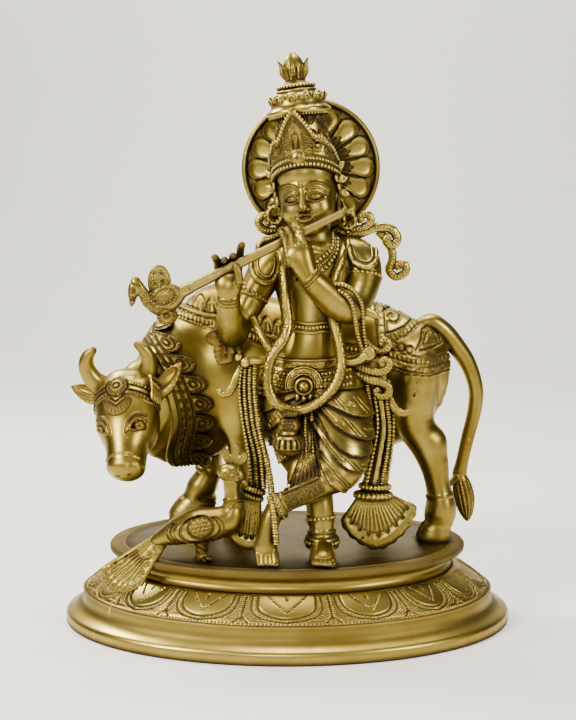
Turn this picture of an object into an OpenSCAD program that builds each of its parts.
// Cast brass group on an oval pedestal: a crowned flute player in front of a cow, with a peacock.
// Millimetres. The origin is the centre of the foot's underside, X runs to the group's left, Z is up.
// The group is laid out in stage coordinates, which start at the centre of the deck's top face.

/* [Pedestal] */
// Width of the oval foot
foot_w = 254; // [230:1:280]
// Depth of every oval as a share of its width
oval = 0.68; // [0.66:0.01:0.74]
// Height of the pedestal, up to the seat of the deck
pedestal_h = 32; // [28:1:40]
// Wall of the hollow castings
wall = 3; // [2:0.5:4]

/* [Deck] */
// Width of the deck's rim
deck_w = 203; // [200:1:210]
// Height of the deck casting, neck and rim together
deck_h = 13; // [12:1:18]
// Thickness of the deck's plate
plate_t = 4; // [3:0.5:5]

/* [Fastenings] */
// Diameter of the studs under the hooves, the foot and the peacock
stud_d = 4; // [3:0.5:4]
// Gap between a stud and its bore, on the radius
stud_gap = 0.15; // [0.1:0.05:0.3]
// Width of the nuts across their flats
nut_af = 7; // [6:0.5:8]

/* [Flute] */
// Radius at the mouth end
flute_r_mouth = 2; // [1.6:0.1:2.2]
// Radius at the bird end
flute_r_bird = 3; // [2.8:0.1:3.2]
// Gap between the flute and the hands that hold it, on the radius
flute_gap = 0.35; // [0.25:0.05:0.5]

/* [Head] */
// Lean of the head, crown and finial towards the group's right
head_lean = 7; // [4:0.5:10]
// Radius of the halo
halo_r = 39; // [36:0.5:42]
// Number of petals on the halo
halo_petals = 16; // [12:1:20]

/* [Hidden] */

foot_r = foot_w / 2;
deck_r = deck_w / 2;
deck_top = pedestal_h + deck_h;
seat_r = deck_r - 2;
big = 400;

// Studs, in stage coordinates: the four hooves, the standing foot and the peacock's stem.
hooves = [[85, 1], [52, 38], [-59, 41], [-26, 14]];
hoof_studs = [[83, 1], [51, 38], [-56, 40], [-26, 14]];
standing_foot = [19, -44];
peacock_stem = [-46, -45];
stud_places = concat(hoof_studs, [standing_foot, peacock_stem]);
stud_up = 9;
stud_down = 6.5;
nut_t = 3.2;
washer_t = 0.8;

// Path points are [x, y, z, half width across, half width along the other side].
cow_barrel = [[86, 11, 109, 5, 8], [82, 13, 106, 13, 18], [72, 16, 99, 20, 30], [58, 22, 92, 26, 41],
    [30, 30, 90, 27, 44], [-5, 33, 92, 27, 42], [-35, 34, 97, 26, 42], [-54, 31, 92, 22, 37],
    [-66, 26, 84, 13, 22]];
cow_neck = [[-40, 34, 100, 22, 34], [-56, 24, 90, 22, 38], [-70, 12, 84, 18, 31], [-82, 1, 88, 12, 19],
    [-89, -5, 93, 8, 10]];
cow_legs = [
    [[72, 8, 100, 14, 23], [70, 3, 83, 11.5, 17], [73, 1, 66, 8.8, 12.5], [83, 1, 54, 7, 8], [85, 1, 40, 5.4, 5.8],
        [85.5, 1, 28, 5.4, 5.6], [85, 1, 22, 6.6, 6.8], [84.5, 1, 9, 6, 6.5]],
    [[60, 32, 90, 12, 20], [51, 36, 76, 10, 15], [50, 37, 60, 7.5, 10], [56, 38, 50, 6, 6.5],
        [54, 38, 38, 5, 5.2], [52.5, 38, 22, 6.4, 6.6], [52, 38, 9, 6, 6.5]],
    [[-42, 36, 88, 14, 16], [-44, 38, 66, 9.5, 11], [-45, 40, 48, 7, 8], [-46, 41, 38, 6, 6.2],
        [-48, 41, 30, 6.5, 7.5], [-53, 41, 21, 7, 8], [-57, 41, 9, 6.5, 7]],
    [[-26, 20, 84, 13, 15], [-26, 16, 64, 9.5, 11], [-26, 14, 46, 7, 7.5], [-26, 14, 32, 5.5, 6],
        [-26, 14, 22, 6.5, 6.6], [-26, 14, 9, 6, 6.5]]
];
cow_skull = [[-91, -4, 95, 8, 5], [-91, -8, 91.5, 14, 9.5], [-91.5, -15, 82, 16, 13],
    [-90.5, -23, 71.5, 15.5, 12.5], [-88.5, -31, 60, 11, 10.5], [-87.5, -36, 53, 9.5, 9],
    [-87, -40, 48, 9.5, 8.5], [-87, -42, 44.5, 6, 5]];
cow_horn_l = [[-81, -8, 89.5, 5.6], [-78, -8.5, 98, 5], [-77, -10, 105, 4.1], [-79.6, -12, 110.6, 2.9],
    [-83.2, -13.6, 113.6, 1.6]];
cow_horn_r = [[-102, -7, 88.5, 5.6], [-108.6, -8.5, 93.6, 5], [-112, -10.5, 101, 4.1], [-110.8, -12.5, 107, 2.9],
    [-107.4, -14.2, 110.6, 1.6]];
cow_tail_path = [[72, 15, 118, 4.4], [81, 16, 123, 4.4], [89, 17, 119.2, 4.4], [95.6, 18.5, 112, 4.2], [104.5, 20, 99, 3.8],
    [109.8, 21, 83, 3.5], [108.6, 21.5, 65, 3.3], [103.6, 22, 44, 3], [101.4, 22, 32, 3.2]];
cow_tuft = [[101.4, 22, 34, 3.4], [103, 22, 26, 5.4], [104.7, 22, 18, 5.6], [106, 22, 10, 3.4], [106.6, 22, 6, 0.9]];

torso = [[10, -16, 74, 22, 14], [10, -16, 88, 25, 16], [10, -16, 100, 23, 15.5], [12, -16, 112, 17, 13],
    [13, -16, 122, 14.5, 12], [14, -14, 135, 16, 12.5], [14, -12, 150, 20, 13], [14, -10, 160, 22, 12],
    [14, -9, 167, 13, 9], [14, -10, 173, 7.5, 7.5], [14, -10, 179, 7, 7]];
standing_leg = [[4, -16, 92, 17, 15], [9, -26, 66, 13, 12], [15, -33, 44, 8, 8], [18, -37, 30, 6, 6.5],
    [19, -39, 18, 5, 5.5], [19, -40, 6, 5.5, 6.5]];
crossed_thigh = [[24, -17, 92, 16, 14], [27, -30, 74, 16, 14], [26, -42, 56, 12, 11], [23, -46, 46, 8, 8]];
crossed_shin = [[26, -45, 50, 8, 8], [14, -49, 43, 8.5, 8], [4, -51, 37, 5.5, 5.5], [-6, -52, 31, 4.5, 4.5]];
crossed_foot = [[-5, -52, 33, 5, 5], [-8, -53, 22, 4.5, 5.5], [-11, -54, 10, 4, 6], [-12, -55, 5, 3, 6]];

shoulder_l = [41, -5, 163];
elbow_l = [33, -29, 133];
wrist_l = [10, -42, 155];
shoulder_r = [-10, -8, 160];
elbow_r = [-30, -22, 119];
wrist_r = [-31, -40, 143];

flute_mouth = [30, -29, 186.5];
flute_end = [-58, -45, 144];

garland_path = [[-3, -22, 166], [-1, -29, 152], [0, -33, 134], [-2, -36, 121], [-8, -37, 110],
    [-10.5, -38, 98], [-5, -39, 87], [6, -40, 82], [17, -40, 85], [26, -39, 95], [29, -37, 108],
    [26, -34, 120], [23, -30, 132], [24, -26, 148], [29, -19, 165], [28, -2, 172], [14, 5, 174], [0, -4, 172]];
garland_r = 2.5;

knot_l = [43, -22, 108];
knot_r = [-24, -22, 104];
hip_l = [28, -18, 106];
hip_r = [-8, -18, 103];
strands_l = [[46, -23, 98], [49, -25, 80], [51, -27, 60], [48, -28, 38]];
strands_r = [[-24, -24, 96], [-25, -27, 76], [-21, -31, 56], [-18, -33, 36]];

peacock_trunk = [[-73, -44, 9, 3, 3], [-68, -44, 12, 6.5, 6], [-58, -45, 17, 9.5, 9],
    [-46, -46, 20, 10.5, 10], [-36, -47, 21, 9, 9.5], [-28, -47, 23, 6, 7]];
peacock_neck = [[-32, -47, 18, 8, 7.6], [-29.4, -47, 25, 5.4, 5.8], [-29.2, -46.4, 32, 4, 4.2],
    [-29.8, -45.4, 43, 3.6, 3.8]];
peacock_head_at = [-29.8, -45, 47.7];
peacock_head_r = 6.2;
tail_fan = [[-68, -44, 12.5, 4.5, 2.2], [-76, -45, 4, 7.5, 2], [-84, -46, -5, 10, 1.8], [-89.5, -47, -12, 11.5, 1.6],
    [-92, -47.5, -15.5, 8, 1.2]];

function at(p) = [p[0], p[1], p[2]];
function unit(v) = v / norm(v);
function last(list) = len(list) - 1;

// Catmull-Rom curve through the points, with n steps a span.
function curve_point(p, i, t) = let (
    a = p[max(i - 1, 0)],
    b = p[i],
    c = p[min(i + 1, last(p))],
    d = p[min(i + 2, last(p))]
) 0.5 * (2 * b + (c - a) * t + (2 * a - 5 * b + 4 * c - d) * t * t + (3 * b - a - 3 * c + d) * t * t * t);
function smooth_path(p, n) = concat(
    [for (i = [0 : last(p) - 1], k = [0 : n - 1]) curve_point(p, i, k / n)],
    [p[last(p)]]
);
function closed_path(p, n) = [for (i = [0 : last(p)], k = [0 : n - 1]) let (
    m = len(p),
    q = [p[(i + m - 1) % m], p[i], p[(i + 1) % m], p[(i + 2) % m]]
) curve_point(q, 1, k / n)];

function half_across(p) = len(p) > 3 ? p[3] : undef;
function half_other(p) = len(p) > 4 ? p[4] : half_across(p);
function ring_points(centre, along, up, across, other, sides) = let (
    side = unit(cross(along, up)),
    lift = cross(side, along)
) [for (k = [0 : sides - 1]) centre + across * cos(360 * k / sides) * side
    + other * sin(360 * k / sides) * lift];
function tube_faces(rings, sides) = concat(
    [[for (k = [sides - 1 : -1 : 0]) k]],
    [for (i = [0 : rings - 2], k = [0 : sides - 1]) let (j = (k + 1) % sides)
        [i * sides + k, i * sides + j, (i + 1) * sides + j, (i + 1) * sides + k]],
    [[for (k = [0 : sides - 1]) (rings - 1) * sides + k]]
);

// Solid swept along [x, y, z, half width, other half width]; up keeps the section from turning.
module tube(path, sides = 12, up = [0, 0, 1], steps = 2) {
    p = smooth_path(path, steps);
    points = [for (i = [0 : last(p)])
        each ring_points(at(p[i]), unit(at(p[min(i + 1, last(p))]) - at(p[max(i - 1, 0)])), up,
            half_across(p[i]), half_other(p[i]), sides)];
    polyhedron(points, tube_faces(len(p), sides), convexity = 6);
}

// Closed rope of one radius through the points.
module loop_tube(path, r, sides = 8, steps = 3, up = [0, 0, 1]) {
    p = closed_path(path, steps);
    n = len(p);
    points = [for (i = [0 : n - 1])
        each ring_points(p[i], unit(p[(i + 1) % n] - p[(i + n - 1) % n]), up, r, r, sides)];
    faces = [for (i = [0 : n - 1], k = [0 : sides - 1]) let (i2 = (i + 1) % n, j = (k + 1) % sides)
        [i * sides + k, i * sides + j, i2 * sides + j, i2 * sides + k]];
    polyhedron(points, faces, convexity = 6);
}

module ball(p, r, fn = 14) {
    translate(p) sphere(r = r, $fn = fn);
}

// Two balls joined by a tapered skin: one bone of a limb or finger.
module bone(a, b, ra, rb, fn = 12) {
    hull() {
        ball(a, ra, fn);
        ball(b, rb, fn);
    }
}

module on_stage() {
    translate([0, 0, deck_top]) children();
}

// Frame of the head: origin where the neck meets the skull, leaning with the head.
head_at = [14, -10, 178];
module on_head() {
    on_stage() translate(head_at) rotate([0, -head_lean, 0]) children();
}

// Axis from one point to another: children stand on the first point and reach up to the second.
module along(from, to) {
    v = to - from;
    translate(from) rotate([0, acos(v.z / norm(v)), atan2(v.y, v.x)]) children();
}

module oval_lathe() {
    scale([1, oval, 1]) rotate_extrude($fn = 240) children();
}

module pedestal() {
    band_z = 20;
    color("goldenrod") difference() {
        oval_lathe() polygon([[foot_r, -1], [foot_r, 6.5], [foot_r - 6, 10], [foot_r - 8.5, 11.5],
            [foot_r - 9.5, band_z], [seat_r, pedestal_h], [seat_r - 10.5, pedestal_h],
            [seat_r - 10.5, pedestal_h - wall], [seat_r - wall, pedestal_h - wall],
            [foot_r - 9.5 - 1.3 * wall, band_z - wall], [foot_r - 9.5 - wall, 8],
            [foot_r - 2 * wall, 4], [foot_r - 2 * wall, -1]]);
        translate([-big / 2, -big / 2, -10]) cube([big, big, 10]);
    }
}

module deck() {
    neck_r = deck_r - 8;
    plate_z = deck_h - plate_t;
    color("goldenrod") translate([0, 0, pedestal_h]) difference() {
        oval_lathe() polygon([[neck_r, 0], [neck_r - 2, 3], [neck_r, plate_z - 2], [deck_r - 1, plate_z - 1],
            [deck_r, plate_z], [deck_r, deck_h - 1.5], [deck_r - 1.5, deck_h], [0, deck_h], [0, plate_z],
            [neck_r - wall - 2, plate_z], [neck_r - wall - 2, 0]]);
        for (p = stud_places) translate([p.x, p.y, plate_z - 1])
            cylinder(r = stud_d / 2 + stud_gap, h = plate_t + 2, $fn = 32);
    }
}

module studs() {
    color("darkkhaki") on_stage() for (p = stud_places) translate([p.x, p.y, -plate_t - stud_down])
        cylinder(d = stud_d, h = stud_down + plate_t + stud_up, $fn = 32);
}

module washers() {
    color("silver") on_stage() for (p = stud_places) translate([p.x, p.y, -plate_t - washer_t]) difference() {
        cylinder(r = nut_af * 0.65, h = washer_t, $fn = 32);
        translate([0, 0, -1]) cylinder(r = stud_d / 2 + stud_gap, h = washer_t + 2, $fn = 32);
    }
}

module nuts() {
    color("darkkhaki") on_stage() for (p = stud_places)
        translate([p.x, p.y, -plate_t - washer_t - nut_t]) difference() {
            cylinder(d = nut_af / cos(30), h = nut_t, $fn = 6);
            translate([0, 0, -1]) cylinder(r = stud_d / 2 + 0.05, h = nut_t + 2, $fn = 32);
        }
}

// Blind hole for a stud, up into a casting that stands on the deck.
module stud_socket(p) {
    translate([p.x, p.y, -1]) cylinder(r = stud_d / 2 + stud_gap, h = stud_up + 1.5, $fn = 20);
}

// One cloven hoof: two toes, each from the pastern to the deck.
module hoof(p, toe_out = -4) {
    for (side = [-1, 1]) hull() {
        translate([p.x, p.y + side * 2.6, 9]) scale([1.1, 0.75, 0.5]) sphere(r = 6, $fn = 12);
        translate([p.x + toe_out * 0.4, p.y + side * 3.4, 0])
            scale([1.6, 0.8, 1]) cylinder(r1 = 6, r2 = 5, h = 3, $fn = 12);
    }
}

module cow_body() {
    color("gold") on_stage() difference() {
        union() {
            tube(cow_barrel, 20);
            tube(cow_neck, 16);
            for (leg = cow_legs) tube(leg, 10, up = [0, 1, 0]);
            translate([-38, 34, 121]) scale([1.3, 0.9, 1]) sphere(r = 18, $fn = 18);
            for (p = hooves) hoof(p);
        }
        for (p = hoof_studs) stud_socket(p);
    }
}

module cow_head() {
    ears = [[[-76, -5, 88], [-67, -5, 94], [-59, -6, 99]], [[-105, -5, 86], [-114, -5, 87], [-121, -4, 87.5]]];
    eyes = [[-78, -31, 75], [-104, -26, 73]];
    nostrils = [[-82, -47, 52], [-92, -45, 51]];
    color("gold") on_stage() union() {
        tube(cow_skull, 14);
        for (e = ears) {
            bone(e[0], e[1], 3, 4.2);
            bone(e[1], e[2], 4.2, 1);
        }
        for (e = eyes) bone(e, e + [0, -1.5, -3], 2.6, 2.2, 8);
        for (n = nostrils) bone(n, n + [0, 1, -3], 1.6, 1.4, 8);
    }
}

module cow_horn(path) {
    color("gold") on_stage() tube(path, 10, up = [0, 1, 0], steps = 3);
}

module cow_tail() {
    color("gold") on_stage() {
        tube(cow_tail_path, 8, up = [0, 1, 0]);
        tube(cow_tuft, 10, up = [0, 1, 0]);
        bone([100, 20, 32], [90, 3, 31], 2, 2, 10);
        bone([96, 18, 110.6], [82, 12, 107], 2.2, 2.2, 10);
        for (k = [0 : 6]) let (a = 360 * k / 7)
            bone([103 + 4.2 * cos(a), 22 + 4.2 * sin(a), 26], [105.8 + 2 * cos(a), 22 + 2 * sin(a), 11], 1.6, 1, 6);
    }
}

// Five toes in front of a foot, spread across its width.
module toes(ball_of_foot, direction, across, length, r) {
    for (k = [0 : 4]) let (
        root = ball_of_foot + across * (k - 2) * 1.5,
        tip = root + direction * (length - abs(k - 1) * 0.5)
    ) bone(root, tip, r, r * 0.8, 8);
}

module figure_body() {
    sole = [19, -40, 3];
    color("gold") on_stage() difference() {
        union() {
            tube(torso, 18, up = [0, 1, 0]);
            tube(standing_leg, 12, up = [0, 1, 0]);
            tube(crossed_thigh, 14, up = [0, 1, 0]);
            tube(crossed_shin, 12);
            tube(crossed_foot, 10, up = [0, 1, 0]);
            hull() {
                ball(sole, 5, 12);
                ball(sole + [0, -14, 0.5], 4.5, 12);
                translate([19, -47, 0]) cylinder(r = 5.5, h = 1, $fn = 16);
            }
            toes(sole + [0, -16, -0.5], [0, -1, -0.05], [1, 0, 0], 7, 1.9);
            toes([-12, -55, 4.4], [-0.1, -1, -0.4], [1, 0, 0], 4, 1.7);
        }
        stud_socket(standing_foot);
        translate([-50, -80, -10]) cube([120, 100, 10]);
    }
}

module figure_head() {
    color("gold") on_head() union() {
        hull() {
            translate([0, 1, 22]) scale([0.95, 1, 1]) sphere(r = 17, $fn = 20);
            translate([0, -4, 6]) sphere(r = 9, $fn = 16);
        }
        bone([0, -12, -1.5], [0, -8, 4], 4, 9, 12);
        for (s = [-1, 1]) {
            bone([s * 16, 2, 16], [s * 16, 3, 8], 2.6, 1.8, 8);
            bone([s * 2.8, -14.6, 17], [s * 8, -13, 17.5], 1.8, 1.3, 8);
            bone([s * 2, -15.9, 22], [s * 9, -13.4, 23], 1.2, 0.9, 8);
        }
        bone([0, -15.4, 20], [0, -17.6, 10], 1.3, 2.3, 8);
        bone([-3.4, -12.6, 4], [3.4, -12.6, 4], 1.5, 1.5, 8);
        translate([0, 0, -4]) cylinder(r = 7, h = 8, $fn = 16);
    }
}

// Tapered clearance through a hand, in line with the flute.
module flute_bore() {
    along(flute_end, flute_mouth) translate([0, 0, -5])
        cylinder(r1 = flute_r_bird + flute_gap + 0.05, r2 = flute_r_mouth + flute_gap,
            h = norm(flute_mouth - flute_end) + 10, $fn = 24);
}

// A curled hand: four fingers over the flute and a thumb under it.
module hand(wrist, palm, span, reach) {
    bone(wrist, palm, 4.6, 5, 12);
    for (k = [0 : 3]) let (
        root = palm + span * (k - 1.5),
        knuckle = root + reach * 0.6 + [0, -3, 0],
        tip = root + reach * 1.15 + [0, 1.5, 0]
    ) {
        bone(root, knuckle, 2.4, 2, 8);
        bone(knuckle, tip, 2, 1.5, 8);
    }
    bone(palm, palm + [2.5, 7.5, -1], 3, 2.2, 8);
    bone(palm + [2.5, 7.5, -1], palm + [2.5, 9.5, 7], 2.2, 1.8, 8);
}

module arm_left() {
    color("gold") on_stage() difference() {
        union() {
            bone(shoulder_l, elbow_l, 8.5, 6, 14);
            bone(elbow_l, wrist_l, 6.4, 4.4, 14);
            hand(wrist_l, [5, -42, 164], [-2.2, 0.3, -1.2], [0, 3, 13]);
        }
        flute_bore();
    }
}

module arm_right() {
    color("gold") on_stage() difference() {
        union() {
            bone(shoulder_r, elbow_r, 8, 6, 14);
            bone(elbow_r, wrist_r, 6.6, 4.4, 14);
            hand(wrist_r, [-31, -44, 150], [-2.4, 0.2, -1.1], [0, 1, 12]);
        }
        flute_bore();
    }
}

module crown() {
    color("gold") on_head() difference() {
        union() {
            translate([0, 1, 27]) cylinder(r1 = 17.6, r2 = 17, h = 8, $fn = 48);
            translate([0, 1, 35]) cylinder(r1 = 17, r2 = 14, h = 26, $fn = 48);
            translate([0, 1, 32]) intersection() {
                difference() {
                    cylinder(r = 19, h = 30, $fn = 48);
                    translate([0, 0, -1]) cylinder(r = 16, h = 32, $fn = 48);
                }
                rotate([90, 0, 0]) linear_extrude(30)
                    polygon([[-16, 0], [-13, 10], [-7, 12], [0, 28], [7, 12], [13, 10], [16, 0]]);
            }
        }
        translate([0, 1, 20]) cylinder(r = 15.5, h = 19, $fn = 48);
    }
}

module crown_canopy() {
    color("gold") on_head() translate([0, 1, 61]) rotate_extrude($fn = 64)
        polygon([[0, 0], [15, 0], [19, 3], [19, 4], [15, 6], [15.8, 9], [14, 11.5], [11.5, 12], [11.5, 14],
            [10.5, 15], [11.4, 16], [11.4, 17.5], [8, 19], [0, 19]]);
}

module crown_finial() {
    color("gold") on_head() translate([0, 1, 80]) rotate_extrude($fn = 48)
        polygon([[0, 0], [5.5, 0], [4, 2], [4.4, 3.5], [5.2, 7], [5, 10], [3, 13], [0, 14.8]]);
}

module halo() {
    petal_r = 25;
    color("gold") on_stage() translate([13.4, 13, 211]) rotate([90, 0, 0]) difference() {
        union() {
            cylinder(r = halo_r - 3, h = 2.5, $fn = 96);
            rotate_extrude($fn = 96) polygon([[halo_r - 5, 0], [halo_r, 0], [halo_r, 3.2], [halo_r - 2, 4.4],
                [halo_r - 5, 3.2]]);
            for (k = [0 : halo_petals - 1]) rotate(360 * k / halo_petals) translate([petal_r, 0, 2])
                cylinder(r1 = petal_r * sin(180 / halo_petals) + 1, r2 = petal_r * sin(180 / halo_petals) - 0.6,
                    h = 1.6, $fn = 32);
        }
        translate([-3.4, 0, -1]) cylinder(r = 2.2, h = 10, $fn = 32);
    }
}

halo_screw_at = [10, 0, 211];
module halo_screw() {
    color("darkkhaki") on_stage() translate(halo_screw_at) rotate([-90, 0, 0])
        translate([0, 0, 2]) cylinder(r = 2, h = 19, $fn = 32);
}

module halo_nut() {
    color("darkkhaki") on_stage() translate([halo_screw_at.x, 13.2, halo_screw_at.z]) rotate([-90, 0, 0])
        difference() {
            cylinder(d = nut_af / cos(30), h = nut_t, $fn = 6);
            translate([0, 0, -1]) cylinder(r = 2.05, h = nut_t + 2, $fn = 32);
        }
}

module earrings() {
    color("gold") on_stage() for (p = [[33.5, -8, 183], [-7, -8, 186]])
        translate(p) rotate([90, 0, 0]) rotate_extrude($fn = 40) translate([4, 0]) circle(r = 1.5, $fn = 20);
}

module hair_curls() {
    curl_l = [[31, -5, 184, 2.4], [38, -4, 176, 2.4], [46, -3, 176, 2.4], [54, -3, 181, 2.3], [61, -3, 178, 2.2],
        [62, -3, 171, 2], [57, -3, 169, 1.6]];
    lock_l = [[56, -2, 170, 2], [60, -2, 160, 2], [62, -2, 153, 2], [67, -2, 151, 1.9], [68, -2, 157, 1.4]];
    curl_r = [[-2, -5, 186, 2.4], [-9, -4, 178, 2.4], [-16, -3, 178, 2.2], [-18, -3, 172, 2], [-13, -3, 169, 1.5]];
    color("gold") on_stage() for (path = [curl_l, lock_l, curl_r]) tube(path, 8, up = [0, 1, 0]);
}

module garland() {
    color("gold") on_stage() loop_tube(garland_path, garland_r, 10, 3, [0.13, 0.97, 0.2]);
}

module garland_pendant() {
    color("gold") on_stage() translate([1.5, -40.5, 0]) rotate_extrude($fn = 48)
        polygon([[0, 79.5], [2, 79.5], [4, 78.6], [2.5, 77.4], [4.6, 75.8], [5.7, 73], [4.6, 70], [3.4, 68.6],
            [6, 67.6], [8.6, 65], [9.2, 62], [7.6, 58.6], [4, 56.4], [0, 56]]);
}

module belt() {
    buckle = [8.6, -30, 95];
    color("gold") on_stage() {
        translate([11, -16, 104]) scale([1, 0.78, 1]) rotate_extrude($fn = 64)
            polygon([[19, -3.4], [22.4, -3.4], [23.4, 0], [22, 3.4], [17, 3.4]]);
        translate(buckle) rotate([90, 0, 0]) rotate_extrude($fn = 48)
            polygon([[0, -3], [9.6, -3], [9.6, 1.6], [8, 3], [6.2, 1.8], [5.8, 4], [3.6, 4.6], [2.6, 6], [0, 6.6]]);
    }
}

// Bundle of beaded cords that hangs from a knot at the hip to a binding ring, with a pleated fan below.
module sash(hip, knot, strands, spread, fan_top, fan_half, fan_drop, curl) {
    bottom = strands[last(strands)];
    bone(hip, knot, 3.5, 5);
    bone(knot, strands[0], 4, 4, 8);
    for (k = [0 : 4]) let (side = (k - 2) * spread)
        tube([for (p = strands) [p.x + side, p.y, p.z, 2, 2]], 8, up = [0, 1, 0]);
    translate([bottom.x, bottom.y, bottom.z - 1]) scale([1, 0.5, 1])
        cylinder(r = 2.4 * spread + 3, h = 7, center = true, $fn = 20);
    for (k = [0 : 7]) let (
        a = (k - 3.5) / 3.5,
        top = bottom + [a * fan_top, 0, -3],
        foot = bottom + [a * fan_half + curl, -5, -fan_drop * (1 - 0.18 * a * a)]
    ) bone(top, foot, 1.7, 2.3, 8);
}

module sash_left() {
    color("gold") on_stage() sash(hip_l, knot_l, strands_l, 3.6, 7, 19, 27, 4);
}

module sash_right() {
    color("gold") on_stage() sash(hip_r, knot_r, strands_r, 2.8, 4, 7, 21, -2);
}

module stole_left() {
    color("gold") on_stage() tube([[36, -24, 140, 2.5, 6], [39, -26, 128, 2.4, 6.5], [42, -25, 120, 2.2, 5],
        [46, -23, 113, 2, 3], [51, -21, 111, 1.8, 2.4], [55, -20, 113, 1.4, 1.6]], 10, up = [1, 0, 0]);
}

module stole_right() {
    color("gold") on_stage() tube([[-33, -18, 124, 2.4, 4.5], [-36, -20, 114, 2.2, 5], [-36, -22, 106, 2.2, 5],
        [-33, -23, 101, 2, 3.4], [-29, -23, 104, 1.6, 2.6]], 10, up = [1, 0, 0]);
}

module flute() {
    color("palegoldenrod") on_stage() along(flute_end, flute_mouth)
        cylinder(r1 = flute_r_bird, r2 = flute_r_mouth, h = norm(flute_mouth - flute_end), $fn = 40);
}

module flute_bird() {
    tail_up = [-66, -45.5, 152];
    wing = [-66, -47.5, 141];
    color("palegoldenrod") on_stage() difference() {
        union() {
            bone([-60, -45, 143], [-68, -46.5, 137], 4.5, 5.5, 12);
            bone([-68, -46.5, 137], [-75, -47, 142], 5.5, 3.6, 12);
            bone([-75, -47, 142], [-80, -47, 148], 3.6, 3.6, 12);
            bone([-80, -47, 150], [-81, -47, 144], 3, 2.6, 10);
            bone([-81, -47.5, 144], [-81.5, -48, 138.5], 2, 0.8, 8);
            hull() {
                translate(tail_up) rotate([90, 0, 0]) cylinder(r = 7.5, h = 2.4, center = true, $fn = 20);
                translate(tail_up + [0, 0, -9]) rotate([90, 0, 0]) cylinder(r = 5, h = 2.4, center = true, $fn = 20);
            }
            hull() {
                translate(wing) rotate([90, 0, 0]) cylinder(r = 6, h = 3, center = true, $fn = 20);
                translate(wing + [8, 1, 4]) rotate([90, 0, 0]) cylinder(r = 2, h = 3, center = true, $fn = 16);
            }
            hull() {
                translate([-62.5, -44.5, 131]) rotate([90, 0, 0]) cylinder(r = 6, h = 2.2, center = true, $fn = 20);
                translate([-66, -45, 136]) rotate([90, 0, 0]) cylinder(r = 5, h = 2.2, center = true, $fn = 20);
            }
        }
        along(flute_end, flute_mouth) cylinder(r = flute_r_bird + 0.05, h = 60, $fn = 24);
    }
}

module peacock_body() {
    color("gold") on_stage() difference() {
        union() {
            tube(peacock_trunk, 14);
            tube(peacock_neck, 12, up = [0, 1, 0]);
            ball(peacock_head_at, peacock_head_r, 14);
            bone(peacock_head_at + [3, -1, 0], [-21.5, -47.5, 44], 3.4, 0.8, 8);
            hull() {
                translate([peacock_stem.x, peacock_stem.y, 0]) cylinder(r = 7, h = 2, $fn = 20);
                ball([peacock_stem.x, peacock_stem.y, 14], 5, 12);
            }
            for (a = [-35, 0, 35, 180], b = [0, 1]) let (
                out = 5 + 5 * b,
                heel = [peacock_stem.x + out * sin(a) * 0.9, peacock_stem.y - out * cos(a) * 0.8, 2 - b * 0.6]
            ) bone([peacock_stem.x, peacock_stem.y, 3], heel, 2.2, 1.4, 6);
        }
        stud_socket(peacock_stem);
        translate([-80, -80, -10]) cube([80, 80, 10]);
    }
}

module peacock_tail() {
    color("gold") on_stage() tube(tail_fan, 12, up = [0.48, 0.58, -0.65]);
}

module peacock_crest() {
    crest_root = [-29, -45, 53];
    color("gold") on_stage() {
        ball(crest_root, 2.4, 10);
        for (a = [-22, 0, 22]) let (tip = crest_root + [9 * sin(a) + 1, 0, 9 * cos(a)])
            hull() {
                ball(crest_root, 1.4, 8);
                translate(tip) scale([1, 0.6, 1.3]) sphere(r = 2, $fn = 10);
            }
    }
}

pedestal();
deck();
studs();
washers();
nuts();
cow_body();
cow_head();
cow_horn(cow_horn_l);  // cow_horn_left
cow_horn(cow_horn_r);  // cow_horn_right
cow_tail();
figure_body();
figure_head();
arm_left();
arm_right();
crown();
crown_canopy();
crown_finial();
halo();
halo_screw();
halo_nut();
earrings();
hair_curls();
garland();
garland_pendant();
belt();
sash_left();
sash_right();
stole_left();
stole_right();
flute();
flute_bird();
peacock_body();
peacock_tail();
peacock_crest();
